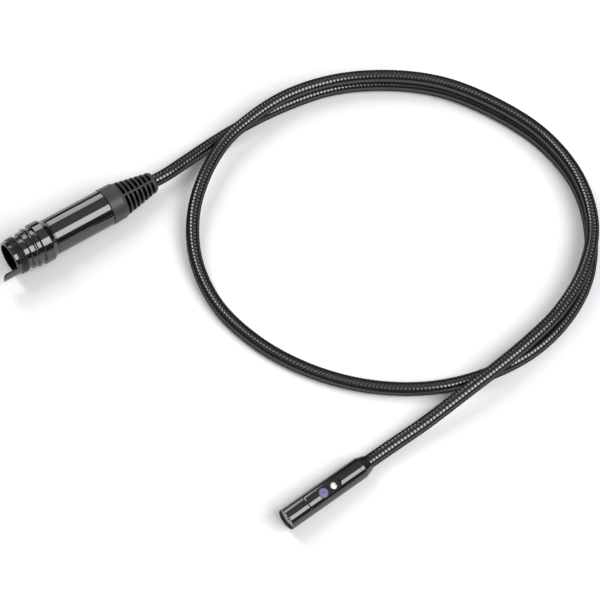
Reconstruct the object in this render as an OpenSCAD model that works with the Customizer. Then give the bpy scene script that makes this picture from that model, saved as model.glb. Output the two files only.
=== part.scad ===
// Detachable two-view inspection camera: a keyed plug, a ribbed gooseneck
// cable lying in a loose loop, and a slim camera head with a front lens and
// a side lens. The origin is the centre of the plug's mouth, +Z is up, and
// the plug points towards -X.

/* [Plug nose] */
// Bore radius of the plug's mouth
mouth_r = 6.4; // [5.8:0.05:6.6]
// Depth of the mouth, from the rim to the contact face
mouth_depth = 7.5; // [6.5:0.1:8.5]
// Wall of the rim around the mouth
rim_wall = 0.95; // [0.7:0.05:1.1]
// Length of the rim in front of the seal
rim_len = 1.7; // [1.2:0.1:2.2]
// Wall left under the seal's groove
seal_wall = 0.55; // [0.4:0.05:0.7]
// Height of the seal's ridges above the groove floor
seal_h = 1; // [0.8:0.05:1.2]
// Length of the seal
seal_len = 3.3; // [2.4:0.1:3.8]
// Ridges on the seal
seal_ridges = 3; // [2:1:4]
// Wall of the smooth neck behind the seal
neck_wall = 0.8; // [0.6:0.05:1]
// Length of the smooth neck
neck_len = 2.05; // [1.4:0.05:2.6]
// Wall of the land that centres the plug in its socket
land_wall = 1.65; // [1.4:0.05:1.8]
// Length of the land
land_len = 2.25; // [1.6:0.05:2.8]
// Wall at the crest of the round bead behind the land
bead_wall = 2.25; // [2:0.05:2.4]
// Length of the round bead
bead_len = 1.6; // [1.2:0.1:2]
// Wall of the waist between the bead and the collar
waist_wall = 1.55; // [1.2:0.05:1.7]
// Length of the waist
waist_len = 1.8; // [1.2:0.1:2.2]
// How far the key tongue reaches in front of the rim
key_len = 6.9; // [5:0.1:8]
// Thickness of the key tongue
key_t = 0.65; // [0.5:0.05:0.75]
// Half the angle that the key tongue covers
key_half_angle = 23; // [18:1:40]
// Rounding of the key tongue's two corners
key_corner_r = 1.8; // [0.8:0.1:2.2]
// Roll of the key tongue about the plug, from straight down
key_roll = -81; // [-90:1:90]

/* [Plug body] */
// Outer radius of the gloss barrel
barrel_r = 7.9; // [7.6:0.05:8.3]
// Wall of the barrel
barrel_wall = 0.95; // [0.8:0.05:1.2]
// Visible length of the barrel
barrel_len = 26.9; // [24:0.1:34]
// How far the locking collar stands above the barrel
collar_step = 1.15; // [0.6:0.05:1.6]
// Length of the collar's straight part
collar_len = 4; // [3:0.1:6]
// Length of the collar's taper down to the barrel
collar_taper_len = 2.6; // [1.6:0.1:3.4]
// Length of the shell's spigot inside the collar and the barrel
spigot_len = 13.8; // [12.5:0.1:18]
// Wall of the shell's spigot
spigot_wall = 1.3; // [1:0.05:1.5]
// Tilt of the plug as it lies, with its cable end down
plug_tilt = 4; // [0:0.5:6]

/* [Contacts] */
// Thickness of the stop lip behind the mouth
stop_t = 2; // [1.2:0.1:2.6]
// Height of the stop lip inside the spigot's bore
stop_h = 0.4; // [0.3:0.05:0.6]
// Length of the contact block behind the stop lip
block_boss_len = 4; // [3:0.1:5]
// Thickness of the contact board
board_t = 1; // [0.6:0.1:1.6]
// Contacts on the circle
contact_n = 6; // [4:1:8]
// Radius of the circle of contacts
contact_circle_r = 3.2; // [2.6:0.1:4]
// Outer radius of one contact sleeve
contact_r = 0.75; // [0.5:0.05:0.85]
// Bore radius of one contact sleeve
contact_bore_r = 0.4; // [0.25:0.05:0.45]
// Depth of a contact sleeve's bore
contact_bore_len = 4; // [3:0.1:6]
// Radius of a contact's solder tail
tail_r = 0.3; // [0.2:0.05:0.4]
// How far the solder tails reach behind the board
tail_len = 1; // [0.5:0.1:2]

/* [Strain relief] */
// How far the boot stands above the barrel where they meet
boot_step = 0.2; // [0.1:0.05:0.5]
// Length of the boot's smooth collar
boot_collar_len = 6.6; // [5.4:0.1:8]
// Fall of the collar's radius along its length
boot_collar_fall = 0.15; // [0.05:0.05:0.4]
// Radius at the start of the slotted part
boot_start_r = 7.65; // [7.2:0.05:7.7]
// Radius at the end of the slotted part
boot_end_r = 4.75; // [4.5:0.05:5.5]
// Length of the slotted part
boot_rib_len = 15.6; // [13.5:0.1:20]
// Length of the rounded nose
boot_nose_len = 2; // [1.2:0.1:3]
// Radius of the nose where the cable leaves
boot_nose_r = 3.5; // [3.3:0.05:4]
// Slots in each row
slot_n = 7; // [4:1:7]
// Width of a slot along the boot
slot_w = 1.4; // [0.9:0.05:1.6]
// Wall left between a slot's floor and the cable
slot_floor_wall = 0.7; // [0.5:0.05:0.9]
// Width of the two spines that join the ribs
spine_w = 0.8; // [0.5:0.05:2]
// Roll of the spines about the plug, from straight up
spine_roll = 24; // [-90:1:90]
// Length of the barrel's tail inside the boot
tail_spigot_len = 4.1; // [3:0.1:4.7]
// Radius of the barrel's tail inside the boot
tail_spigot_r = 5.9; // [5.7:0.05:6.05]

/* [Cable clamp] */
// Outer radius of the ferrule on the cable
ferrule_r = 3.6; // [3.4:0.05:3.8]
// Radius of the ferrule's flange
ferrule_flange_r = 4.6; // [4.2:0.1:5.4]
// Thickness of the ferrule's flange
ferrule_flange_t = 2; // [1:0.1:2.5]
// Outer radius of the bush that holds the ferrule
bush_r = 4.95; // [4.6:0.05:5.3]
// Thickness of the bush's flange
bush_flange_t = 1.5; // [1:0.1:2]
// Length of the bush's seat, up to the end of the barrel's tail
bush_seat_len = 8; // [6:0.1:10]

/* [Cable] */
// Diameter of the cable over its ribs
cable_d = 5.6; // [5:0.1:5.7]
// Depth of the ribs
rib_h = 0.3; // [0.1:0.05:0.4]
// Ribs along the whole cable
rib_n = 196; // [120:1:200]
// Bore diameter of the sheath
sheath_bore_d = 3.6; // [3.2:0.1:3.8]
// Diameter of the wire bundle
wires_d = 2.6; // [2:0.1:2.7]
// Gap between the two stacked turns
turn_gap = 0.5; // [0.45:0.05:1]

/* [Head] */
// Outer radius of the camera head
head_r = 4.5; // [4.4:0.05:4.7]
// Wall of the head's tube
head_wall = 0.6; // [0.5:0.05:0.7]
// Length of the front cap up to its seam
cap_len = 9.65; // [9:0.05:10.5]
// Length of the tube between the two seams
tube_len = 25.8; // [24:0.1:30]
// Length of the straight part of the tail
tail_straight_len = 1.85; // [1:0.05:3]
// Length of the tail's taper
tail_taper_len = 3.45; // [2:0.05:5]
// Radius at the end of the tail's taper
tail_end_r = 3.5; // [3.3:0.05:4]
// Length of the spigots that join cap, tube and tail
joint_len = 2.5; // [2.2:0.1:3]
// Width of the seam between cap and tube
seam_w = 0.56; // [0.52:0.02:0.7]
// Depth of the seam between cap and tube
seam_h = 0.08; // [0.06:0.02:0.2]
// Wall of the front cap's spigot
cap_spigot_wall = 0.7; // [0.6:0.05:0.8]
// Width of the seal ring on the front cap's spigot
seal_ring_w = 0.9; // [0.7:0.05:1.1]
// Depth of the seal ring's groove
seal_ring_h = 0.3; // [0.2:0.05:0.35]
// Heading of the head as it lies
head_heading = 3.4; // [0:0.1:6]
// Pitch of the head as it lies on its tail, with its front up
head_pitch = 4; // [0:0.5:6]

/* [Front camera] */
// Radius of the front window
glass_r = 4.1; // [3.9:0.05:4.15]
// Thickness of the front window
glass_t = 0.8; // [0.5:0.1:1]
// Depth of the front window below the rim
glass_recess = 1.3; // [0.8:0.05:1.5]
// Wall of the cap behind its window
cap_wall = 0.8; // [0.7:0.05:0.95]
// Outer radius of the front lens barrel
lens_r = 2.2; // [1.8:0.1:2.3]
// Length of the front lens barrel
lens_len = 3.7; // [3:0.1:4]
// Gap between the front window and the lens barrel
lens_gap = 0.3; // [0.2:0.05:0.6]
// Radius of the lens element at the front
lens_face_r = 1.5; // [1:0.1:1.6]
// Thickness of the ring board that carries the front lights
ring_board_t = 0.8; // [0.5:0.1:1]
// Distance from the front window to the ring board
ring_board_gap = 1.4; // [1.2:0.1:1.8]
// Front lights on the ring board
front_led_n = 6; // [4:1:8]
// Width of one front light
front_led_w = 0.9; // [0.6:0.05:1]
// Height of one front light
front_led_h = 0.9; // [0.5:0.05:1]
// Width of the front sensor module
sensor_w = 5; // [4:0.1:5]
// Length of the front sensor module
sensor_len = 2; // [1.5:0.1:2.2]

/* [Side camera] */
// Distance from the front rim to the side window
window_x = 15.2; // [14.2:0.1:15.4]
// Length of the side window
window_len = 10.7; // [10.2:0.1:11.5]
// Width of the side window
window_w = 4.6; // [4.5:0.05:4.7]
// Roll of the side window about the head, from straight up
window_roll = 16; // [-90:1:90]
// Height of the tray's face above the head's axis
tray_face_h = 3.75; // [3.5:0.05:3.85]
// Height of the tray's flange above the head's axis
tray_flange_h = 2.8; // [2.7:0.05:2.9]
// Thickness of the tray's flange
tray_flange_t = 1; // [0.8:0.1:1.1]
// How far the tray's flange reaches past the window at each end
tray_lap = 1; // [0.6:0.1:1.4]
// Radius of the side lens
side_lens_r = 2.05; // [1.9:0.05:2.1]
// Rise of the side lens's front
side_lens_rise = 0.3; // [0.15:0.05:0.4]
// Distance from the front rim to the side lens
side_lens_x = 17.7; // [17.6:0.05:17.95]
// Radius of the side light
side_led_r = 1.4; // [1.1:0.05:1.5]
// Distance from the front rim to the side light
side_led_x = 22.8; // [22.2:0.1:23.4]
// Width of the side sensor module
side_sensor_w = 4.2; // [3.6:0.1:4.6]
// Thickness of the head's circuit board
head_board_t = 0.8; // [0.5:0.05:0.8]
// Height of the board's top above the head's axis
head_board_h = 0.8; // [0.6:0.05:0.85]
// Width of the flat strip between front sensor and board
flex_w = 3; // [2:0.1:4]
// Thickness of the flat strip
flex_t = 0.3; // [0.2:0.05:0.4]
// Outer radius of the ferrule in the head's tail
head_ferrule_r = 3.25; // [3.1:0.05:3.3]
// Length of the ferrule in the head's tail
head_ferrule_len = 3.8; // [3:0.1:4.5]

/* [Hidden] */
// Radial gap of pieces that are fitted into each other
fit_gap = 0.05;
// Radial gap between the cable's ribs and what they pass through
cable_gap = 0.1;
// Edge break on turned pieces
edge = 0.25;
// Sides of a cable ring and of a wire ring
cable_sides = 8;
wires_sides = 6;
// Longest step between the rings of the bore and of the wires
ring_step = 14;
// Facets of large and small circles, and steps of a drawn arc
round_fn = 72;
small_fn = 32;
arc_steps = 6;

// Radii of the plug's nose
rim_r = mouth_r + rim_wall;
seal_floor_r = mouth_r + seal_wall;
seal_r = seal_floor_r + seal_h;
neck_r = mouth_r + neck_wall;
land_r = mouth_r + land_wall;
bead_r = mouth_r + bead_wall;
waist_r = mouth_r + waist_wall;
collar_r = barrel_r + collar_step;
barrel_bore_r = barrel_r - barrel_wall;
spigot_r = barrel_bore_r - fit_gap;
spigot_bore_r = spigot_r - spigot_wall;
stop_r = spigot_bore_r - stop_h;

// Stations along the plug, from the rim
seal_end = rim_len + seal_len;
neck_end = seal_end + neck_len;
land_end = neck_end + land_len;
bead_end = land_end + bead_len;
collar_front = bead_end + waist_len;
collar_back = collar_front + collar_len;
barrel_front = collar_back + collar_taper_len;
barrel_back = barrel_front + barrel_len;
tail_end = barrel_back + tail_spigot_len;
shell_back = collar_front + spigot_len;
block_step = mouth_depth + stop_t;
board_front = block_step + block_boss_len;
board_back = board_front + board_t;
boot_shoulder = barrel_back + boot_collar_len;
rib_end = boot_shoulder + boot_rib_len;
boot_end = rib_end + boot_nose_len;
boot_collar_r = barrel_r + boot_step;
boot_shoulder_r = boot_collar_r - boot_collar_fall;
bush_step = tail_end - bush_seat_len;
bush_front = bush_step - bush_flange_t;
ferrule_front = bush_front - ferrule_flange_t;

// Cable radii and the surface that everything lies on
cable_r = cable_d / 2;
root_r = cable_r - rib_h;
bore_r = sheath_bore_d / 2;
wires_r = wires_d / 2;
shoulder_edge = 2 * edge;
rests = [[collar_back, collar_r], [boot_shoulder - shoulder_edge, boot_shoulder_r],
    [rib_end, boot_end_r]];
floor_z = min([for (s = rests) -s[0] * sin(plug_tilt) - s[1] * cos(plug_tilt)]);

// Stations along the head, from its front rim
tube_end = cap_len + tube_len;
tail_taper = tube_end + tail_straight_len;
head_end = tail_taper + tail_taper_len;
head_bore_r = head_r - head_wall;
joint_r = head_bore_r - fit_gap;
cap_bore_r = head_r - cap_wall;
glass_back = glass_recess + glass_t;
ring_front = glass_back + ring_board_gap;
lens_front = glass_back + lens_gap;
lens_back = lens_front + lens_len;
sensor_back = lens_back + sensor_len;
board_head_front = cap_len + joint_len;
groove_front = cap_len + (joint_len - seal_ring_w) / 2 - fit_gap;
groove_back = groove_front + seal_ring_w + 2 * fit_gap;
groove_r = joint_r - seal_ring_h;
tail_front = tube_end - joint_len;
ferrule_stop = tail_front + 2 * joint_len;
head_ferrule_front = ferrule_stop - head_ferrule_len;
board_head_back = tail_front - fit_gap;
tray_floor_h = tray_flange_h - tray_flange_t;
head_front = [25.48, -158.98];
head_rise = head_r * cos(head_pitch) + tail_taper * sin(head_pitch);

// Heights of the cable's centre above the surface: lower and upper turn
low = cable_r;
high = cable_r + cable_d + turn_gap;

// Points on the plug's axis and on the head's axis, as [x, y, height]
function plug_point(s) = [s * cos(plug_tilt), 0, -s * sin(plug_tilt) - floor_z];
function head_point(s) =
    let (run = s * cos(head_pitch))
        [head_front.x + run * cos(head_heading), head_front.y + run * sin(head_heading),
            head_rise - s * sin(head_pitch)];

// The arc that both turns of the loop share, and the stretches around it
shared_arc = [[138, 2], [160, -3], [180, -14], [198, -31], [210, -53], [217, -79],
    [215, -104], [205, -125]];
lead = [plug_point(ferrule_front), plug_point(boot_end), plug_point(boot_end + cable_d),
    [87, 1.3, low + 2.2], [98, 2.7, low + 1], [112, 3.7, low + 0.1]];
lower_turn = [for (p = shared_arc) [p.x, p.y, low]];
far_side = [[188.5, -142, low], [168.2, -151.6, low], [150, -154.6, low],
    [130, -152.5, low], [108, -144.5, low], [88.2, -129.8, low], [72.5, -109.7, low],
    [62.4, -85.9, low], [59.3, -62, low + 0.4], [64.2, -40.1, low + 1.8],
    [75, -23, high - 2], [89, -11, high - 0.3], [106, -2, high], [122, 1.3, high]];
upper_turn = [for (p = shared_arc) [p.x, p.y, high]];
neck = [[187.6, -140.2, high], [167.8, -148.8, high - 0.4], [150, -152.4, high - 0.2],
    [134, -154.4, high], [118, -155.5, high - 0.6], [106, -156, high - 2],
    [94, -156.2, low + 2.4], [82.1, -156.1, low + 1.4],
    head_point(head_end + cable_d), head_point(head_end), head_point(head_ferrule_front)];
route = concat(lead, lower_turn, far_side, upper_turn, neck);

// Route indices at which the cable changes from one stretch to the next
lead_last = 4;
neck_first = len(route) - 7;
tip_first = len(route) - 5;
route_last = len(route) - 1;

function lifted(p) = [p.x, p.y, p.z + floor_z];
function unit(v) = v / norm(v);
function chord(i) = norm(route[i + 1] - route[i]);
function sum(list, i = 0) = i < len(list) ? list[i] + sum(list, i + 1) : 0;

// Direction of the route at one of its points, from the stretches around it
function heading(i) =
    i == 0 ? unit(route[1] - route[0])
    : i == route_last ? unit(route[i] - route[i - 1])
    : let (back = route[i] - route[i - 1], on = route[i + 1] - route[i])
        (unit(back) * norm(on) + unit(on) * norm(back)) / (norm(back) + norm(on));

// Point and direction on the smooth curve between route points i and i + 1
function curve_point(i, t) =
    (2 * t ^ 3 - 3 * t ^ 2 + 1) * route[i] + (t ^ 3 - 2 * t ^ 2 + t) * chord(i) * heading(i)
    + (3 * t ^ 2 - 2 * t ^ 3) * route[i + 1] + (t ^ 3 - t ^ 2) * chord(i) * heading(i + 1);
function curve_heading(i, t) =
    unit(6 * (t ^ 2 - t) * (route[i] - route[i + 1])
        + (3 * t ^ 2 - 4 * t + 1) * chord(i) * heading(i)
        + (3 * t ^ 2 - 2 * t) * chord(i) * heading(i + 1));

// Rings of a tube between two route points, as [centre, direction, radius]
rib_pitch = sum([for (i = [0:route_last - 1]) chord(i)]) / rib_n;
function rib_count(i) = max(1, floor(chord(i) / rib_pitch + 0.5));
function ribbed_rings(first, last) = concat(
    [for (i = [first:last - 1], j = [0:2 * rib_count(i) - 1])
        let (t = j / (2 * rib_count(i)))
            [lifted(curve_point(i, t)), curve_heading(i, t), j % 2 == 0 ? root_r : cable_r]],
    [[lifted(route[last]), unit(heading(last)), root_r]]);
function plain_rings(first, last, r) = concat(
    [for (i = [first:last - 1], j = [0:ceil(chord(i) / ring_step) - 1])
        let (t = j / ceil(chord(i) / ring_step))
            [lifted(curve_point(i, t)), curve_heading(i, t), r]],
    [[lifted(route[last]), unit(heading(last)), r]]);
function ring_points(ring, sides) =
    let (side = unit(cross(ring[1], [0, 0, 1])), up = cross(side, ring[1]))
        [for (k = [0:sides - 1])
            let (a = 360 * k / sides)
                ring[0] + ring[2] * (side * cos(a) + up * sin(a))];
function wall_faces(n, sides, from, outward) =
    [for (i = [0:n - 2], k = [0:sides - 1])
        let (a = from + i * sides + k, b = from + i * sides + (k + 1) % sides)
            each outward ? [[a, b, b + sides], [a, b + sides, a + sides]]
                : [[b + sides, b, a], [a + sides, b + sides, a]]];

// A tube with a bore, from its outer rings and its bore's rings
module tube(outer, inner, sides) {
    n = len(outer) * sides;
    m = n + (len(inner) - 1) * sides;
    points = [for (ring = concat(outer, inner)) each ring_points(ring, sides)];
    front = [for (k = [0:sides - 1])
        let (j = (k + 1) % sides) each [[j, k, n + k], [j, n + k, n + j]]];
    back = [for (k = [0:sides - 1])
        let (j = (k + 1) % sides, o = n - sides)
            each [[o + k, o + j, m + j], [o + k, m + j, m + k]]];
    polyhedron(points, concat(wall_faces(len(outer), sides, 0, true),
        wall_faces(len(inner), sides, n, false), front, back));
}

// A solid strand along its rings
module strand(rings, sides) {
    n = len(rings) * sides;
    points = [for (ring = rings) each ring_points(ring, sides)];
    front = [for (k = [1:sides - 2]) [k + 1, k, 0]];
    back = [for (k = [1:sides - 2]) [n - sides, n - sides + k, n - sides + k + 1]];
    polyhedron(points, concat(wall_faces(len(rings), sides, 0, true), front, back));
}

module sheath(first, last) {
    tube(ribbed_rings(first, last), plain_rings(first, last, bore_r), cable_sides);
}

// Rings of the wire bundle, and its straight ends inside the plug and the head
function wire_rings(first, last) = plain_rings(first, last, wires_r);
plug_wire_end = [lifted(plug_point(board_back)), heading(0), wires_r];
head_wire_end = [lifted(head_point(board_head_back)), heading(route_last), wires_r];

// Centre points of the loop, its length and the least gap between its turns
loop_points = [for (ring = plain_rings(lead_last, neck_first, cable_r)) ring[0]];
turn_points = floor(len(loop_points) / 4);
least_gap = min([for (i = [0:len(loop_points) - 1], j = [i + turn_points:1:len(loop_points) - 1])
    norm(loop_points[i] - loop_points[j])]) - cable_d;
echo(route_length = sum([for (i = [1:route_last - 2]) chord(i)]));
echo(least_gap_between_turns = least_gap);

// Placing of the plug and of the head
module on_plug() {
    rotate([0, plug_tilt, 0]) children();
}

module on_head() {
    translate([head_front.x, head_front.y, floor_z + head_rise])
        rotate([0, head_pitch, head_heading]) children();
}

module on_window() {
    on_head() rotate([window_roll, 0, 0]) children();
}

// A solid turned about +X from an outline of [radius, station] points
module turned(outline) {
    rotate([0, 90, 0]) rotate_extrude($fn = round_fn) polygon(outline);
}

module disc(r, from, to) {
    translate([from, 0, 0]) rotate([0, 90, 0]) cylinder(r = r, h = to - from, $fn = round_fn);
}

module ring(outer_r, inner_r, from, to) {
    turned([[inner_r, from], [outer_r, from], [outer_r, to], [inner_r, to]]);
}

// Points of a rounded crest between two stations, standing on base_r
function crest(base_r, top_r, from, to, steps = 8) =
    [for (i = [0:steps])
        let (a = 180 * i / steps)
            [base_r + (top_r - base_r) * sin(a), (from + to) / 2 - (to - from) / 2 * cos(a)]];

// A plate with round ends, length along X
module stadium(length, width, height) {
    linear_extrude(height) {
        square([length - width, width], center = true);
        for (side = [-1, 1])
            translate([side * (length - width) / 2, 0]) circle(d = width, $fn = round_fn);
    }
}

module key_tongue() {
    half_w = rim_r * sin(key_half_angle);
    plate_len = key_len + rim_len / 2;
    rotate([key_roll, 0, 0]) intersection() {
        ring(rim_r, rim_r - key_t, -key_len, rim_len / 2);
        translate([0, 0, -rim_r]) linear_extrude(rim_r) union() {
            translate([-key_len + key_corner_r, -half_w])
                square([plate_len - key_corner_r, 2 * half_w]);
            translate([-key_len, -half_w + key_corner_r])
                square([plate_len, 2 * (half_w - key_corner_r)]);
            for (side = [-1, 1])
                translate([-key_len + key_corner_r, side * (half_w - key_corner_r)])
                    circle(key_corner_r, $fn = small_fn);
        }
    }
}

module plug_shell() {
    color("#1b1b1d") on_plug() union() {
        turned(concat(
            [[mouth_r, 0], [rim_r - edge, 0], [rim_r, edge], [rim_r, rim_len],
                [seal_floor_r, rim_len], [seal_floor_r, seal_end], [neck_r, seal_end],
                [neck_r, neck_end], [land_r - edge, neck_end], [land_r, neck_end + edge],
                [land_r, land_end]],
            crest(waist_r, bead_r, land_end, bead_end),
            [[waist_r, collar_front], [spigot_r, collar_front], [spigot_r, shell_back],
                [spigot_bore_r, shell_back], [spigot_bore_r, block_step], [stop_r, block_step],
                [stop_r, mouth_depth], [mouth_r, mouth_depth]]));
        key_tongue();
    }
}

module nose_seal() {
    pitch = (seal_len - 2 * fit_gap) / seal_ridges;
    base_r = seal_r - seal_h / 2;
    ridge_outline = [for (i = [0:seal_ridges - 1])
        each crest(base_r, seal_r, rim_len + fit_gap + i * pitch, rim_len + fit_gap + (i + 1) * pitch)];
    color("#101011") on_plug() turned(concat(
        [[seal_floor_r + fit_gap, rim_len + fit_gap]], ridge_outline,
        [[seal_floor_r + fit_gap, seal_end - fit_gap]]));
}

module at_contacts() {
    for (i = [0:contact_n - 1])
        rotate([360 * i / contact_n, 0, 0]) translate([0, 0, contact_circle_r]) children();
}

module contact_block() {
    color("#2a2a2c") on_plug() difference() {
        union() {
            disc(stop_r - fit_gap, mouth_depth, board_front);
            disc(spigot_bore_r - fit_gap, block_step, board_front);
        }
        at_contacts() disc(contact_r + fit_gap, mouth_depth - edge, board_front + edge);
    }
}

module contact_sockets() {
    color("#c9a24a") on_plug() at_contacts() difference() {
        union() {
            disc(contact_r, mouth_depth, board_front);
            disc(tail_r, mouth_depth, board_back + tail_len);
        }
        disc(contact_bore_r, mouth_depth - edge, mouth_depth + contact_bore_len);
    }
}

module contact_board() {
    color("#1f5a36") on_plug() difference() {
        disc(spigot_bore_r - 2 * fit_gap, board_front, board_back);
        at_contacts() disc(tail_r + fit_gap, board_front - edge, board_back + edge);
    }
}

module lock_collar() {
    color("#1b1b1d") on_plug() turned([[spigot_r + fit_gap, collar_front],
        [collar_r - edge, collar_front], [collar_r, collar_front + edge], [collar_r, collar_back],
        [barrel_r - edge, barrel_front - edge], [barrel_r - edge, barrel_front],
        [spigot_r + fit_gap, barrel_front]]);
}

module barrel() {
    color("#1b1b1d") on_plug() turned([[barrel_bore_r, barrel_front],
        [barrel_r - edge, barrel_front], [barrel_r, barrel_front + edge],
        [barrel_r, barrel_back - edge], [barrel_r - edge, barrel_back],
        [tail_spigot_r, barrel_back], [tail_spigot_r, tail_end], [bush_r + fit_gap, tail_end],
        [bush_r + fit_gap, bush_step], [barrel_bore_r, bush_step]]);
}

module rear_bush() {
    color("#8d8f93") on_plug() turned([[ferrule_r + fit_gap, bush_front],
        [barrel_bore_r - fit_gap, bush_front], [barrel_bore_r - fit_gap, bush_step],
        [bush_r, bush_step], [bush_r, tail_end], [ferrule_r + fit_gap, tail_end]]);
}

module cable_ferrule() {
    color("#b9babd") on_plug() turned([[cable_r + fit_gap, ferrule_front],
        [ferrule_flange_r, ferrule_front], [ferrule_flange_r, bush_front],
        [ferrule_r, bush_front], [ferrule_r, tail_end], [cable_r + fit_gap, tail_end]]);
}

module strain_boot() {
    pitch = boot_rib_len / slot_n;
    floor_r = cable_r + cable_gap + slot_floor_wall;
    clear_r = 2 * boot_collar_r;
    nose_round = [for (i = [0:arc_steps])
        let (a = 90 * i / arc_steps)
            [boot_nose_r + (boot_end_r - boot_nose_r) * cos(a), rib_end + boot_nose_len * sin(a)]];
    color("#3a3a3c") on_plug() difference() {
        turned(concat(
            [[tail_spigot_r + fit_gap, barrel_back], [boot_collar_r - shoulder_edge, barrel_back],
                [boot_collar_r, barrel_back + edge], [boot_shoulder_r, boot_shoulder - shoulder_edge],
                [boot_start_r, boot_shoulder]],
            nose_round,
            [[cable_r + cable_gap, boot_end], [cable_r + cable_gap, tail_end],
                [tail_spigot_r + fit_gap, tail_end]]));
        for (i = [0:slot_n - 1]) difference() {
            ring(clear_r, floor_r, boot_shoulder + (i + 1) * pitch - slot_w,
                boot_shoulder + (i + 1) * pitch);
            rotate([spine_roll, 0, 0]) translate([boot_shoulder + i * pitch, -spine_w / 2, -clear_r])
                cube([pitch + edge, spine_w, 2 * clear_r]);
        }
    }
}

module sheath_lead() {
    color("#2b2b2d") sheath(0, lead_last);
}

module sheath_loop() {
    color("#2b2b2d") sheath(lead_last, neck_first);
}

module sheath_neck() {
    color("#2b2b2d") sheath(neck_first, tip_first);
}

module sheath_tip() {
    color("#2b2b2d") sheath(tip_first, route_last);
}

module wires_lead() {
    color("#5b5b60") strand(concat([plug_wire_end], wire_rings(0, lead_last)), wires_sides);
}

module wires_loop() {
    color("#5b5b60") strand(wire_rings(lead_last, neck_first), wires_sides);
}

module wires_neck() {
    color("#5b5b60") strand(wire_rings(neck_first, tip_first), wires_sides);
}

module wires_tip() {
    color("#5b5b60") strand(concat(wire_rings(tip_first, route_last), [head_wire_end]), wires_sides);
}

module front_cap() {
    spigot_bore = joint_r - cap_spigot_wall;
    color("#1b1b1d") on_head() turned([[glass_r + fit_gap, 0], [head_r - edge / 2, 0],
        [head_r, edge / 2], [head_r, cap_len - seam_w / 2], [head_r - seam_h, cap_len],
        [joint_r, cap_len], [joint_r, groove_front], [groove_r, groove_front],
        [groove_r, groove_back], [joint_r, groove_back], [joint_r, board_head_front],
        [spigot_bore, board_head_front], [spigot_bore, cap_len],
        [cap_bore_r, cap_len - cap_spigot_wall], [cap_bore_r, glass_back],
        [glass_r + fit_gap, glass_back]]);
}

module front_glass() {
    color("#c8ced6") on_head() disc(glass_r, glass_recess, glass_back);
}

module front_seal() {
    color("#101011") on_head()
        ring(joint_r, groove_r + fit_gap, groove_front + fit_gap, groove_back - fit_gap);
}

module front_lens() {
    dish = (lens_r - lens_face_r) / 2;
    color("#26262a") on_head() turned([[0, lens_front + dish], [lens_face_r, lens_front + dish],
        [lens_r - edge, lens_front], [lens_r, lens_front + edge], [lens_r, lens_back], [0, lens_back]]);
}

module ring_board() {
    color("#1f5a36") on_head()
        ring(cap_bore_r - fit_gap, lens_r + fit_gap, ring_front, ring_front + ring_board_t);
}

module front_leds() {
    led_circle_r = (cap_bore_r + lens_r) / 2;
    color("#f0ead2") on_head() for (i = [0:front_led_n - 1])
        rotate([360 * i / front_led_n, 0, 0])
            translate([ring_front - front_led_h, -front_led_w / 2, led_circle_r - front_led_w / 2])
                cube([front_led_h, front_led_w, front_led_w]);
}

module front_sensor() {
    color("#3c3f46") on_head() translate([lens_back, -sensor_w / 2, -sensor_w / 2])
        cube([sensor_len, sensor_w, sensor_w]);
}

module front_flex() {
    color("#a8682a") on_head() translate([sensor_back, -flex_w / 2, head_board_h - head_board_t])
        cube([board_head_front + fit_gap - sensor_back, flex_w, flex_t]);
}

module head_tube() {
    color("#1b1b1d") difference() {
        on_head() turned([[head_bore_r, cap_len], [head_r - seam_h, cap_len],
            [head_r, cap_len + seam_w / 2], [head_r, tube_end], [head_bore_r, tube_end]]);
        on_window() translate([window_x + window_len / 2, 0, 0])
            stadium(window_len, window_w, 2 * head_r);
    }
}

module side_tray() {
    centre_x = window_x + window_len / 2;
    color("#161618") on_window() difference() {
        union() {
            intersection() {
                disc(joint_r, window_x - tray_lap, window_x + window_len + tray_lap);
                translate([window_x - tray_lap, -head_r, tray_floor_h])
                    cube([window_len + 2 * tray_lap, 2 * head_r, tray_flange_t]);
            }
            translate([centre_x, 0, tray_floor_h])
                stadium(window_len - 2 * fit_gap, window_w - 2 * fit_gap, tray_face_h - tray_floor_h);
        }
        translate([side_lens_x, 0, tray_floor_h - edge])
            cylinder(r = side_lens_r + fit_gap, h = head_r, $fn = round_fn);
        translate([side_led_x, 0, tray_floor_h - edge])
            cylinder(r = side_led_r + fit_gap, h = head_r, $fn = round_fn);
    }
}

// A round piece with a domed front, standing on the window's axis
module domed(r, from, to, rise) {
    dome_r = (r ^ 2 + rise ^ 2) / (2 * rise);
    rotate_extrude($fn = round_fn) polygon(concat([[0, from], [r, from]],
        [for (i = [0:arc_steps])
            let (x = r * (1 - i / arc_steps))
                [x, to - dome_r + sqrt(dome_r ^ 2 - x ^ 2)]]));
}

module side_lens() {
    color("#7d74a6") on_window() translate([side_lens_x, 0, 0])
        domed(side_lens_r, tray_floor_h, tray_face_h, side_lens_rise);
}

module side_sensor() {
    color("#3c3f46") on_window()
        translate([side_lens_x - side_sensor_w / 2, -side_sensor_w / 2, head_board_h])
            cube([side_sensor_w, side_sensor_w, tray_floor_h - head_board_h]);
}

module side_led() {
    color("#f5efcf") on_window() translate([side_led_x, 0, 0])
        domed(side_led_r, head_board_h, tray_face_h - edge, side_lens_rise);
}

module head_board() {
    half_w = sqrt(joint_r ^ 2 - head_board_h ^ 2) - fit_gap;
    color("#1f5a36") on_window()
        translate([board_head_front + fit_gap, -half_w, head_board_h - head_board_t])
            cube([board_head_back - board_head_front - fit_gap, 2 * half_w, head_board_t]);
}

module head_ferrule() {
    color("#b9babd") on_head() ring(head_ferrule_r, cable_r + fit_gap, head_ferrule_front, ferrule_stop);
}

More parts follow.
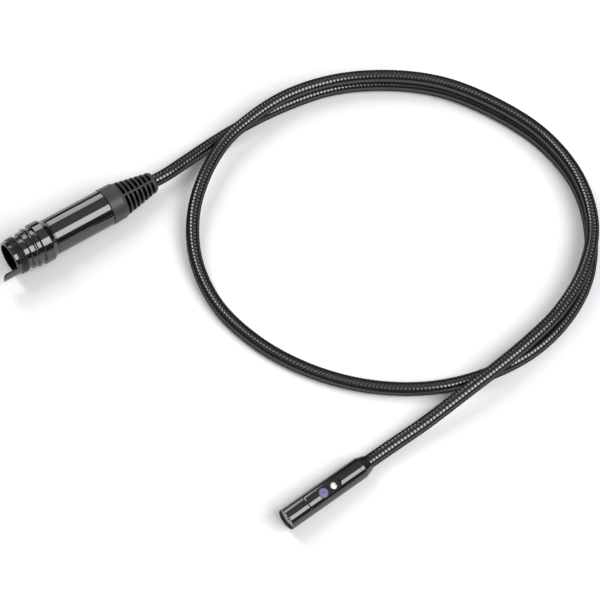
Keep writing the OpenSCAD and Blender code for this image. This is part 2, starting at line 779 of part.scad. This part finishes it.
module tail_cone() {
    color("#1b1b1d") on_head() turned([[head_ferrule_r + fit_gap, tail_front], [joint_r, tail_front],
        [joint_r, tube_end], [head_r - edge / 2, tube_end], [head_r, tube_end + edge / 2],
        [head_r, tail_taper], [tail_end_r, head_end], [cable_r + cable_gap, head_end],
        [cable_r + cable_gap, ferrule_stop], [head_ferrule_r + fit_gap, ferrule_stop]]);
}

plug_shell();
nose_seal();
contact_block();
contact_sockets();
contact_board();
lock_collar();
barrel();
rear_bush();
cable_ferrule();
strain_boot();
sheath_lead();
sheath_loop();
sheath_neck();
sheath_tip();
wires_lead();
wires_loop();
wires_neck();
wires_tip();
front_cap();
front_glass();
front_seal();
front_lens();
ring_board();
front_leds();
front_sensor();
front_flex();
head_tube();
side_tray();
side_lens();
side_sensor();
side_led();
head_board();
head_ferrule();
tail_cone();
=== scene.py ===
"""Finished look of the two-view inspection camera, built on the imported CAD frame.

Everything is in metres, in the part's own frame: the plug points towards -X, +Z is up,
and the part lies on a pale floor. Sizes named in millimetres are multiplied by MM.
"""

import math

import bpy
from mathutils import Euler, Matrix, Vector


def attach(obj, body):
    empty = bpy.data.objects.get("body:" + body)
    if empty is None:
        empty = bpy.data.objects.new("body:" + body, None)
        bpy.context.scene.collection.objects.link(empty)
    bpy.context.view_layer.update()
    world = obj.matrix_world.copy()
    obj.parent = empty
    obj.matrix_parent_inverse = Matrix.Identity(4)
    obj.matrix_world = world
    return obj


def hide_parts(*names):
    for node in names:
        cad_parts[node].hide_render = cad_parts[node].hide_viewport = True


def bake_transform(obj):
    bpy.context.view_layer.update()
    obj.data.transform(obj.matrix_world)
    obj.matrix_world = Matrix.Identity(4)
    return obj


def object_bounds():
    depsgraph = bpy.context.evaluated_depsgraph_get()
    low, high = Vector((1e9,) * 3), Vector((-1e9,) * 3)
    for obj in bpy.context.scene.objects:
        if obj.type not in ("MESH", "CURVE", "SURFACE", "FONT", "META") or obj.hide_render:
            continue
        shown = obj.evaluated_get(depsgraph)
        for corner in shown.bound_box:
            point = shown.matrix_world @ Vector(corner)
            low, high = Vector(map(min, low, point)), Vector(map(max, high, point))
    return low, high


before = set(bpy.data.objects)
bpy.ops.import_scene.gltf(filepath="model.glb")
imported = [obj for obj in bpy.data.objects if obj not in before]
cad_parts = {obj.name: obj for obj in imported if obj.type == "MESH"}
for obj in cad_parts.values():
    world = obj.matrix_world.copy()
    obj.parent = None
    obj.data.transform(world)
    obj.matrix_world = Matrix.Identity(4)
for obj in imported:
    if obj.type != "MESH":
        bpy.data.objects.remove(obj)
cad_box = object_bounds()

MM = 0.001
FLOOR = cad_box[0].z
# The surface that the plug's boot touches, below the plug's mouth
SURFACE = -11.579 * MM

# Camera, from the ellipses of the plug's mouth and of the head's front
CAMERA_AT = Vector((-180.8, -456.4, 803.1)) * MM
CAMERA_AIM = Vector((89.1, -79.3, 0.0)) * MM
CAMERA_LENS = 135.7
CAMERA_SENSOR = 36.0

# Cable. A rib gets its rings of vertices at these shares of the pitch, close together at its flanks
CABLE_D = 5.6 * MM
RIB_DEPTH = 0.24 * MM
RIB_PITCH = 1.6 * MM
RIB_PHASES = (0.0, 0.06, 0.12, 0.18, 0.26, 0.74, 0.82, 0.88, 0.94)
RIB_FLATNESS = 8
RIB_END_MARGIN = 0.02 * RIB_PITCH
CABLE_SIDES = 24
SAMPLES_PER_LEG = 48
# Gap between the two stacked turns of the loop, in millimetres
TURN_GAP = 0.5

# Stations along the plug and the head, in millimetres from their front rims
PLUG_TILT = math.radians(4)
FERRULE_FRONT = 38.8
BOOT_END = 70.4
BOOT_SHOULDER, BOOT_START_R = 52.8, 7.65
RIB_END, RIB_END_R = 68.4, 4.75
HEAD_FRONT = (25.48, -158.98)
HEAD_HEADING = math.radians(3.4)
HEAD_PITCH = math.radians(4)
HEAD_R = 4.5
HEAD_TAPER = 37.3
HEAD_END = 40.75
HEAD_FERRULE_FRONT = 34.15
GLASS_RECESS = 1.3
WINDOW_ROLL = math.radians(16)
SIDE_LENS_X, SIDE_LENS_TOP = 17.7, 3.75
SIDE_LED_X, SIDE_LED_TOP = 22.8, 3.5
# Reach of the rings on the side lens, and place of the dark mark on the side light from its middle
LENS_RINGS = 2.2
LED_MARK = 1.15

# Range that a noise value mostly stays in
NOISE_LOW, NOISE_HIGH = 0.3, 0.7

# Floor and world
FLOOR_REACH = 3.0
HORIZON, HORIZON_COLOUR = 0.2, (0.03, 0.03, 0.03, 1)
OVERHEAD, OVERHEAD_COLOUR = 0.95, (0.44, 0.44, 0.45, 1)


# Camera


def add_camera():
    """The camera at the photograph's viewing angle."""
    data = bpy.data.cameras.new("camera")
    data.lens = CAMERA_LENS
    data.sensor_width = CAMERA_SENSOR
    camera = bpy.data.objects.new("camera", data)
    bpy.context.scene.collection.objects.link(camera)
    lift = Vector((0, 0, SURFACE))
    camera.location = CAMERA_AT + lift
    camera.rotation_euler = (CAMERA_AIM - CAMERA_AT).to_track_quat("-Z", "Y").to_euler()
    bpy.context.scene.camera = camera


# Cable route: the points of the CAD route, as (x, y, height above the surface) in millimetres


def plug_point(station):
    """A point on the plug's axis."""
    return (station * math.cos(PLUG_TILT), 0.0, -station * math.sin(PLUG_TILT) - SURFACE / MM)


def head_point(station):
    """A point on the head's axis."""
    run = station * math.cos(HEAD_PITCH)
    rise = HEAD_R * math.cos(HEAD_PITCH) + HEAD_TAPER * math.sin(HEAD_PITCH)
    return (
        HEAD_FRONT[0] + run * math.cos(HEAD_HEADING),
        HEAD_FRONT[1] + run * math.sin(HEAD_HEADING),
        rise - station * math.sin(HEAD_PITCH),
    )


CABLE_MM = CABLE_D / MM
LOW = CABLE_MM / 2
HIGH = LOW + CABLE_MM + TURN_GAP
SHARED_ARC = [
    (138, 2), (160, -3), (180, -14), (198, -31), (210, -53),
    (217, -79), (215, -104), (205, -125),
]
LEAD = [
    plug_point(FERRULE_FRONT), plug_point(BOOT_END), plug_point(BOOT_END + CABLE_MM),
    (87, 1.3, LOW + 2.2), (98, 2.7, LOW + 1), (112, 3.7, LOW + 0.1),
]
FAR_SIDE = [
    (188.5, -142, LOW), (168.2, -151.6, LOW), (150, -154.6, LOW),
    (130, -152.5, LOW), (108, -144.5, LOW), (88.2, -129.8, LOW),
    (72.5, -109.7, LOW), (62.4, -85.9, LOW), (59.3, -62, LOW + 0.4), (64.2, -40.1, LOW + 1.8),
    (75, -23, HIGH - 2), (89, -11, HIGH - 0.3), (106, -2, HIGH), (122, 1.3, HIGH),
]
NECK = [
    (187.6, -140.2, HIGH), (167.8, -148.8, HIGH - 0.4), (150, -152.4, HIGH - 0.2),
    (134, -154.4, HIGH), (118, -155.5, HIGH - 0.6), (106, -156, HIGH - 2),
    (94, -156.2, LOW + 2.4), (82.1, -156.1, LOW + 1.4),
    head_point(HEAD_END + CABLE_MM), head_point(HEAD_END), head_point(HEAD_FERRULE_FRONT),
]
LOWER_TURN = [(x, y, LOW) for x, y in SHARED_ARC]
UPPER_TURN = [(x, y, HIGH) for x, y in SHARED_ARC]
ROUTE = [
    Vector((x * MM, y * MM, SURFACE + height * MM))
    for x, y, height in LEAD + LOWER_TURN + FAR_SIDE + UPPER_TURN + NECK
]
# The route's last point, and the points where one stretch of the cable gives way to the next
ROUTE_LAST = len(ROUTE) - 1
LEAD_LAST = 4
NECK_FIRST = ROUTE_LAST - 6
TIP_FIRST = ROUTE_LAST - 4


def heading(i):
    """Direction of the route at one of its points, from the legs around it."""
    if i == 0:
        return (ROUTE[1] - ROUTE[0]).normalized()
    if i == ROUTE_LAST:
        return (ROUTE[i] - ROUTE[i - 1]).normalized()
    back, on = ROUTE[i] - ROUTE[i - 1], ROUTE[i + 1] - ROUTE[i]
    turned = back.normalized() * on.length + on.normalized() * back.length
    return turned / (back.length + on.length)


def leg_point(i, t):
    """A point on the smooth curve between route points i and i + 1."""
    start, end = ROUTE[i], ROUTE[i + 1]
    chord = (end - start).length
    return (
        (2 * t**3 - 3 * t**2 + 1) * start
        + (t**3 - 2 * t**2 + t) * chord * heading(i)
        + (3 * t**2 - 2 * t**3) * end
        + (t**3 - t**2) * chord * heading(i + 1)
    )


def route_line():
    """The whole route as close points, with the distance along it and each route point's place."""
    points, marks = [ROUTE[0]], [0]
    for i in range(ROUTE_LAST):
        points += [leg_point(i, (k + 1) / SAMPLES_PER_LEG) for k in range(SAMPLES_PER_LEG)]
        marks.append(len(points) - 1)
    along = [0.0]
    for a, b in zip(points, points[1:]):
        along.append(along[-1] + (b - a).length)
    return points, along, marks


LINE, ALONG, MARKS = route_line()


def line_at(distance, hint=0):
    """The point, the direction and the index on the route at a distance along it."""
    i = hint
    while i < len(LINE) - 2 and ALONG[i + 1] < distance:
        i += 1
    share = (distance - ALONG[i]) / (ALONG[i + 1] - ALONG[i])
    before, after = LINE[max(i - 1, 0)], LINE[min(i + 2, len(LINE) - 1)]
    return LINE[i].lerp(LINE[i + 1], share), (after - before).normalized(), i


def rib_height(phase):
    """Height of a rib above its groove, from 0 to 1, with a broad flat crest."""
    return 1 - (2 * phase - 1) ** RIB_FLATNESS


def ribbed_tube(name, first, last):
    """A ribbed tube along the route between two of its points, and its centreline."""
    start, end = ALONG[MARKS[first]], ALONG[MARKS[last]]
    stations = [(start, None)]
    for rib in range(int(start // RIB_PITCH), int(end // RIB_PITCH) + 1):
        for phase in RIB_PHASES:
            distance = (rib + phase) * RIB_PITCH
            if start + RIB_END_MARGIN < distance < end - RIB_END_MARGIN:
                stations.append((distance, phase))
    stations.append((end, None))
    vertices, crests, centres, hint = [], [], [], 0
    for distance, phase in stations:
        centre, direction, hint = line_at(distance, hint)
        share = rib_height(phase if phase is not None else (distance / RIB_PITCH) % 1)
        radius = CABLE_D / 2 - RIB_DEPTH * (1 - share)
        side = direction.cross(Vector((0, 0, 1))).normalized()
        up = side.cross(direction)
        centres.append(centre)
        for k in range(CABLE_SIDES):
            angle = 2 * math.pi * k / CABLE_SIDES
            vertices.append(centre + radius * (side * math.cos(angle) + up * math.sin(angle)))
            crests.append(share)
    faces = [
        (
            row * CABLE_SIDES + k,
            row * CABLE_SIDES + (k + 1) % CABLE_SIDES,
            (row + 1) * CABLE_SIDES + (k + 1) % CABLE_SIDES,
            (row + 1) * CABLE_SIDES + k,
        )
        for row in range(len(stations) - 1)
        for k in range(CABLE_SIDES)
    ]
    mesh = bpy.data.meshes.new(name)
    mesh.from_pydata(vertices, [], faces)
    mesh.attributes.new("crest", "FLOAT", "POINT").data.foreach_set("value", crests)
    mesh.shade_smooth()
    tube = bpy.data.objects.new(name, mesh)
    bpy.context.scene.collection.objects.link(tube)
    return tube, centres


def add_cable():
    """The gooseneck in four stretches: three that bend at the joints, and the loop."""
    lead, _ = ribbed_tube("cable_lead", 0, LEAD_LAST)
    loop, loop_line = ribbed_tube("cable_loop", LEAD_LAST, NECK_FIRST)
    neck, _ = ribbed_tube("cable_neck", NECK_FIRST, TIP_FIRST)
    tip, _ = ribbed_tube("cable_tip", TIP_FIRST, ROUTE_LAST)
    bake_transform(lead)
    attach(loop, "cable")
    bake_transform(neck)
    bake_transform(tip)
    for piece, part in ((lead, "lead"), (loop, "loop"), (neck, "neck"), (tip, "tip")):
        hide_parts(f"sheath_{part}", f"wires_{part}")
    return [lead, loop, neck, tip]


# Materials


class Look:
    """A Principled material and short ways to give it grain."""

    def __init__(self, name, colour, roughness, **constants):
        self.material = bpy.data.materials.new(name)
        self.material.use_nodes = True
        self.tree = self.material.node_tree
        self.shader = self.tree.nodes["Principled BSDF"]
        self.set("Base Color", (*colour, 1.0))
        self.set("Roughness", roughness)
        for socket, value in constants.items():
            self.set(socket.replace("_", " "), value)

    def set(self, socket, value):
        self.shader.inputs[socket].default_value = value

    def node(self, kind, **settings):
        made = self.tree.nodes.new(kind)
        for name, value in settings.items():
            setattr(made, name, value)
        return made

    def link(self, source, target):
        self.tree.links.new(source, target)

    def noise(self, scale, detail=3.0, stretch=(1, 1, 1)):
        """A noise value over the surface; scale is in repeats per metre."""
        place = self.node("ShaderNodeTexCoord")
        mapping = self.node("ShaderNodeMapping")
        mapping.inputs["Scale"].default_value = stretch
        grain = self.node("ShaderNodeTexNoise")
        grain.inputs["Scale"].default_value = scale
        grain.inputs["Detail"].default_value = detail
        self.link(place.outputs["Object"], mapping.inputs["Vector"])
        self.link(mapping.outputs["Vector"], grain.inputs["Vector"])
        return grain.outputs["Fac"]

    def ramp(self, value, stops):
        """A colour from a value, through (place, colour) stops."""
        ramp = self.node("ShaderNodeValToRGB")
        ramp.color_ramp.elements[0].position, first = stops[0]
        ramp.color_ramp.elements[0].color = (*first, 1.0)
        ramp.color_ramp.elements[1].position, last = stops[-1]
        ramp.color_ramp.elements[1].color = (*last, 1.0)
        for place, colour in stops[1:-1]:
            ramp.color_ramp.elements.new(place).color = (*colour, 1.0)
        self.link(value, ramp.inputs["Fac"])
        return ramp.outputs["Color"]

    def vary_colour(self, value, dark, light, low=0.35, high=0.65):
        self.link(self.ramp(value, [(low, dark), (high, light)]), self.shader.inputs["Base Color"])

    def vary_roughness(self, value, low, high):
        spread = self.node("ShaderNodeMapRange")
        spread.inputs["From Min"].default_value = NOISE_LOW
        spread.inputs["From Max"].default_value = NOISE_HIGH
        spread.inputs["To Min"].default_value = low
        spread.inputs["To Max"].default_value = high
        self.link(value, spread.inputs["Value"])
        self.link(spread.outputs["Result"], self.shader.inputs["Roughness"])

    def bump(self, value, height, strength):
        bump = self.node("ShaderNodeBump")
        bump.inputs["Strength"].default_value = strength
        bump.inputs["Distance"].default_value = height
        self.link(value, bump.inputs["Height"])
        self.link(bump.outputs["Normal"], self.shader.inputs["Normal"])


def gloss_black(name, roughness, ior):
    """Gloss black moulded or painted skin with a faint unevenness."""
    look = Look(name, (0.008, 0.008, 0.0088), roughness, IOR=ior)
    look.vary_colour(look.noise(900), (0.007, 0.007, 0.0077), (0.009, 0.009, 0.0099))
    look.vary_roughness(look.noise(350), 0.8 * roughness, 1.25 * roughness)
    look.bump(look.noise(2500, 2), 0.01 * MM, 0.05)
    return look.material


def rubber(name, colour, roughness, grain):
    """Moulded rubber with a fine grain."""
    look = Look(name, colour, roughness, IOR=1.48)
    shade = [c * 0.8 for c in colour], [c * 1.2 for c in colour]
    look.vary_colour(look.noise(1400, 5), *shade)
    look.vary_roughness(look.noise(900), roughness - 0.06, roughness + 0.06)
    look.bump(look.noise(grain, 4), 0.03 * MM, 0.25)
    return look.material


def below_cone(look):
    """Depth of the surface under the boot's cone in millimetres, which tells its slots apart and
    masks their painted shade.
    """
    axis = Vector((math.cos(PLUG_TILT), 0, -math.sin(PLUG_TILT)))
    fall = (BOOT_START_R - RIB_END_R) / (RIB_END - BOOT_SHOULDER)
    place = look.node("ShaderNodeTexCoord").outputs["Object"]
    along = look.node("ShaderNodeVectorMath", operation="DOT_PRODUCT")
    along.inputs[1].default_value = axis / MM
    across = look.node("ShaderNodeVectorMath", operation="CROSS_PRODUCT")
    across.inputs[1].default_value = axis / MM
    radius = look.node("ShaderNodeVectorMath", operation="LENGTH")
    cone = look.node("ShaderNodeMath", operation="MULTIPLY_ADD")
    cone.inputs[1].default_value = -fall
    cone.inputs[2].default_value = BOOT_START_R + fall * BOOT_SHOULDER
    skin = look.node("ShaderNodeMath", operation="MINIMUM")
    skin.inputs[1].default_value = BOOT_START_R
    depth = look.node("ShaderNodeMath", operation="SUBTRACT")
    look.link(place, along.inputs[0])
    look.link(place, across.inputs[0])
    look.link(across.outputs["Vector"], radius.inputs[0])
    look.link(along.outputs["Value"], cone.inputs[0])
    look.link(cone.outputs["Value"], skin.inputs[0])
    look.link(skin.outputs["Value"], depth.inputs[0])
    look.link(radius.outputs["Value"], depth.inputs[1])
    return depth.outputs["Value"]


def boot_rubber():
    """Moulded rubber of the strain relief, darker down in its slots with painted shade."""
    look = Look("boot_rubber", (0.04, 0.04, 0.042), 0.42, IOR=1.5)
    depth = below_cone(look)
    # Painted shade: colour and reflection fall away with depth down in the slots
    colour = look.ramp(depth, [(0.05, (0.042, 0.042, 0.044)), (0.5, (0.003, 0.003, 0.003))])
    slot_shade_shine = look.ramp(depth, [(0.05, (0.5, 0.5, 0.5)), (0.5, (0.05, 0.05, 0.05))])
    look.link(colour, look.shader.inputs["Base Color"])
    look.link(slot_shade_shine, look.shader.inputs["Specular IOR Level"])
    look.vary_roughness(look.noise(900), 0.36, 0.48)
    look.bump(look.noise(5000, 4), 0.03 * MM, 0.25)
    return look.material


def cable_skin():
    """Black coated metal of the gooseneck, with painted shade in the grooves between the ribs."""
    look = Look("cable_skin", (0.085, 0.085, 0.087), 0.12, Metallic=0.92)
    look.set("Specular Tint", (0.15, 0.15, 0.15, 1.0))
    crest = look.node("ShaderNodeAttribute", attribute_name="crest").outputs["Fac"]
    # Painted shade: the colour, and with it the metal's reflection, is darker down in the grooves
    groove, top = (0.05, 0.05, 0.051), (0.088, 0.088, 0.09)
    look.link(look.ramp(crest, [(0.6, groove), (0.97, top)]), look.shader.inputs["Base Color"])
    look.vary_roughness(look.noise(1200, 4), 0.1, 0.15)
    look.bump(look.noise(4000, 2), 0.01 * MM, 0.1)
    return look.material


def metal(name, colour, roughness, stretch=(1, 1, 1)):
    """Bare metal with fine turning marks."""
    look = Look(name, colour, roughness, Metallic=1.0)
    look.vary_roughness(look.noise(1500, 3, stretch), 0.8 * roughness, 1.3 * roughness)
    look.vary_colour(look.noise(600), [0.88 * c for c in colour], colour)
    return look.material


def board_green():
    """Circuit board lacquer."""
    look = Look("board_green", (0.02, 0.12, 0.05), 0.35)
    look.vary_colour(look.noise(1800, 2), (0.012, 0.08, 0.035), (0.025, 0.14, 0.06))
    look.vary_roughness(look.noise(700), 0.28, 0.42)
    return look.material


def plain_plastic(name, colour, roughness):
    """Moulded plastic with a slight mottle."""
    look = Look(name, colour, roughness)
    look.vary_colour(look.noise(1500), [0.85 * c for c in colour], [1.15 * c for c in colour])
    look.vary_roughness(look.noise(800), 0.85 * roughness, 1.15 * roughness)
    return look.material


def off_centre(look, centre):
    """Distance of the surface from a point in the part's frame, in millimetres."""
    place = look.node("ShaderNodeTexCoord")
    away = look.node("ShaderNodeVectorMath", operation="DISTANCE")
    away.inputs[1].default_value = centre
    scaled = look.node("ShaderNodeMath", operation="MULTIPLY")
    scaled.inputs[1].default_value = 1 / MM
    look.link(place.outputs["Object"], away.inputs[0])
    look.link(away.outputs["Value"], scaled.inputs[0])
    return scaled.outputs["Value"]


def share_of(look, distance, reach):
    """A distance as a share of its reach."""
    share = look.node("ShaderNodeMath", operation="DIVIDE")
    share.inputs[1].default_value = reach
    look.link(distance, share.inputs[0])
    return share.outputs["Value"]


def window_glass():
    """Front window: clear before the lens, and frosted before the ring of lights."""
    look = Look("window_glass", (0.9, 0.91, 0.93), 0.02, IOR=1.5)
    x, y, z = head_point(GLASS_RECESS)
    rings = off_centre(look, Vector((x * MM, y * MM, z * MM + SURFACE)))
    clear, frosted = (1.0, 1.0, 1.0), (0.05, 0.05, 0.05)
    through = look.ramp(share_of(look, rings, HEAD_R), [(0.26, clear), (0.3, frosted)])
    look.link(through, look.shader.inputs["Transmission Weight"])
    look.vary_roughness(look.noise(600), 0.01, 0.05)
    return look.material


def on_window(station, height):
    """A point on the side window's middle line in the part's frame, from its place on the head."""
    x, y, z = head_point(station)
    turn = Euler((WINDOW_ROLL, HEAD_PITCH, HEAD_HEADING)).to_matrix()
    return Vector((x * MM, y * MM, z * MM + SURFACE)) + turn @ Vector((0, 0, height)) * MM


def lens_coated():
    """Violet coated lens, darker at its middle and at its rim."""
    look = Look("lens_coated", (0.22, 0.19, 0.36), 0.25, Specular_IOR_Level=0.1)
    rings = off_centre(look, on_window(SIDE_LENS_X, SIDE_LENS_TOP))
    colour = look.ramp(
        share_of(look, rings, LENS_RINGS),
        [
            (0.0, (0.09, 0.075, 0.15)),
            (0.16, (0.14, 0.12, 0.23)),
            (0.3, (0.22, 0.19, 0.35)),
            (0.8, (0.21, 0.18, 0.34)),
            (0.97, (0.05, 0.04, 0.12)),
        ],
    )
    look.link(colour, look.shader.inputs["Base Color"])
    return look.material


def led_white():
    """Pale light-emitting diode with a small dark mark."""
    look = Look("led_white", (0.9, 0.87, 0.72), 0.2, IOR=1.5, Coat_Weight=0.4)
    mark = off_centre(look, on_window(SIDE_LED_X + LED_MARK, SIDE_LED_TOP))
    colour = look.ramp(
        mark,
        [
            (0.0, (0.3, 0.27, 0.22)),
            (0.45, (0.42, 0.38, 0.3)),
            (0.6, (0.88, 0.84, 0.66)),
            (1.0, (0.93, 0.91, 0.8)),
        ],
    )
    look.link(colour, look.shader.inputs["Base Color"])
    look.vary_roughness(look.noise(900), 0.15, 0.25)
    return look.material


def tray_dark():
    """Dark violet tray of the side window."""
    look = Look("tray_dark", (0.012, 0.009, 0.02), 0.15)
    look.vary_colour(look.noise(1200), (0.009, 0.007, 0.015), (0.016, 0.012, 0.027))
    look.vary_roughness(look.noise(700), 0.12, 0.2)
    return look.material


def dress(material, *names):
    """Gives CAD nodes or pieces one material."""
    for name in names:
        data = bpy.data.objects[name].data
        data.materials.clear()
        data.materials.append(material)


def dress_all(cable):
    """Every CAD node and every piece gets its material."""
    dress(gloss_black("plug_gloss", 0.06, 1.78), "plug_shell", "lock_collar", "barrel")
    dress(gloss_black("head_gloss", 0.06, 1.74), "front_cap", "head_tube", "tail_cone")
    dress(boot_rubber(), "strain_boot")
    dress(rubber("seal_rubber", (0.01, 0.01, 0.0105), 0.35, 6000), "nose_seal", "front_seal")
    sheaths = [f"sheath_{part}" for part in ("lead", "loop", "neck", "tip")]
    dress(cable_skin(), *(piece.name for piece in cable), *sheaths)
    wires = [f"wires_{part}" for part in ("lead", "loop", "neck", "tip")]
    dress(plain_plastic("wire_jacket", (0.1, 0.1, 0.11), 0.5), *wires)
    dress(plain_plastic("insulator", (0.02, 0.02, 0.022), 0.45), "contact_block")
    dress(tray_dark(), "side_tray")
    sensors = ("front_lens", "front_sensor", "side_sensor")
    dress(plain_plastic("sensor_dark", (0.05, 0.05, 0.06), 0.35), *sensors)
    dress(plain_plastic("flex_amber", (0.45, 0.2, 0.04), 0.3), "front_flex")
    dress(metal("contact_metal", (0.75, 0.56, 0.22), 0.25), "contact_sockets")
    clamps = ("rear_bush", "cable_ferrule", "head_ferrule")
    dress(metal("steel", (0.55, 0.55, 0.57), 0.3, stretch=(1, 8, 8)), *clamps)
    dress(board_green(), "contact_board", "ring_board", "head_board")
    dress(window_glass(), "front_glass")
    dress(lens_coated(), "side_lens")
    dress(led_white(), "side_led", "front_leds")


# Floor, lamps and world


def add_floor():
    """A pale, slightly uneven floor under the part."""
    mesh = bpy.data.meshes.new("floor")
    signs = ((-1, -1), (1, -1), (1, 1), (-1, 1))
    corners = [(x * FLOOR_REACH, y * FLOOR_REACH, FLOOR) for x, y in signs]
    mesh.from_pydata(corners, [], [(0, 1, 2, 3)])
    floor = bpy.data.objects.new("floor", mesh)
    bpy.context.scene.collection.objects.link(floor)
    look = Look("floor_pale", (0.98, 0.98, 0.98), 0.9, Specular_IOR_Level=0.0)
    look.vary_colour(look.noise(3), (0.975, 0.975, 0.975), (0.985, 0.985, 0.985))
    mesh.materials.append(look.material)


def add_softbox(name, at, aim, width, height, radiance):
    """A rectangular lamp of a given brightness, its width level."""
    data = bpy.data.lights.new(name, "AREA")
    data.shape = "RECTANGLE"
    data.size, data.size_y = width, height
    data.energy = radiance * math.pi * width * height
    lamp = bpy.data.objects.new(name, data)
    bpy.context.scene.collection.objects.link(lamp)
    lamp.location = at
    lamp.rotation_euler = (Vector(aim) - Vector(at)).to_track_quat("-Z", "Y").to_euler()
    lamp.visible_camera = False


def add_world():
    """Soft light that is brighter overhead than at the horizon."""
    world = bpy.data.worlds.new("studio")
    bpy.context.scene.world = world
    world.use_nodes = True
    tree = world.node_tree
    place = tree.nodes.new("ShaderNodeTexCoord")
    split = tree.nodes.new("ShaderNodeSeparateXYZ")
    ramp = tree.nodes.new("ShaderNodeValToRGB")
    low, high = ramp.color_ramp.elements
    low.position, low.color = HORIZON, HORIZON_COLOUR
    high.position, high.color = OVERHEAD, OVERHEAD_COLOUR
    tree.links.new(place.outputs["Generated"], split.inputs[0])
    tree.links.new(split.outputs["Z"], ramp.inputs["Fac"])
    tree.links.new(ramp.outputs["Color"], tree.nodes["Background"].inputs["Color"])


def add_studio():
    """Floor, three lamps whose mirror images are the highlights along the part, and the world."""
    add_floor()
    add_softbox(
        "front_softbox", at=(0.53, -1.05, 1.21), aim=(0.53, 0.0, 0),
        width=1.2, height=1.0, radiance=5.9,
    )
    add_softbox(
        "back_panel", at=(0.3, 0.62, 0.47), aim=(0.3, 0.0, 0),
        width=0.1, height=0.5, radiance=3.5,
    )
    add_softbox(
        "left_softbox", at=(-0.12, 0.74, 1.1), aim=(-0.12, -0.045, 0),
        width=0.36, height=0.8, radiance=6.6,
    )
    add_world()
    bpy.context.scene.view_settings.view_transform = "Standard"


add_camera()
cable_pieces = add_cable()
dress_all(cable_pieces)
add_studio()
